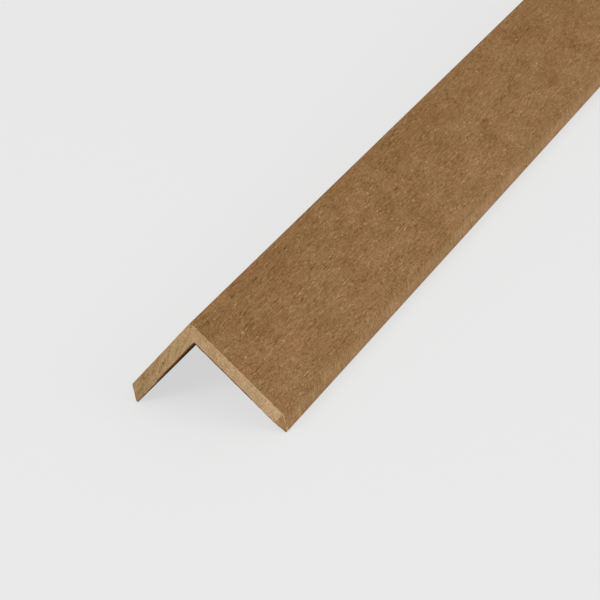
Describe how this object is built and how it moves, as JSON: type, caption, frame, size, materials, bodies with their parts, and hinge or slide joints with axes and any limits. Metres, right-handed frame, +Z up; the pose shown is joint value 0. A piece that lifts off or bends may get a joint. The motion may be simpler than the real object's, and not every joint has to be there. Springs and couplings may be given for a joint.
{
  "type": "corner guard moulding",
  "caption": "Straight angle moulding of wood-plastic composite with two equal legs and bevelled edges, glued or pinned over an outside wall corner to cover and protect it.",
  "frame": {"origin": "on the floor, under the ridge, midway along the length", "axes": "+X along the length, +Y across towards one leg, +Z up to the ridge, which is the outside corner"},
  "size_m": [1.2, 0.0634, 0.0385],
  "materials": {
    "composite": "matte"
  },
  "bodies": {
    "root": {"corner_moulding": "composite"}
  },
  "joints": []
}
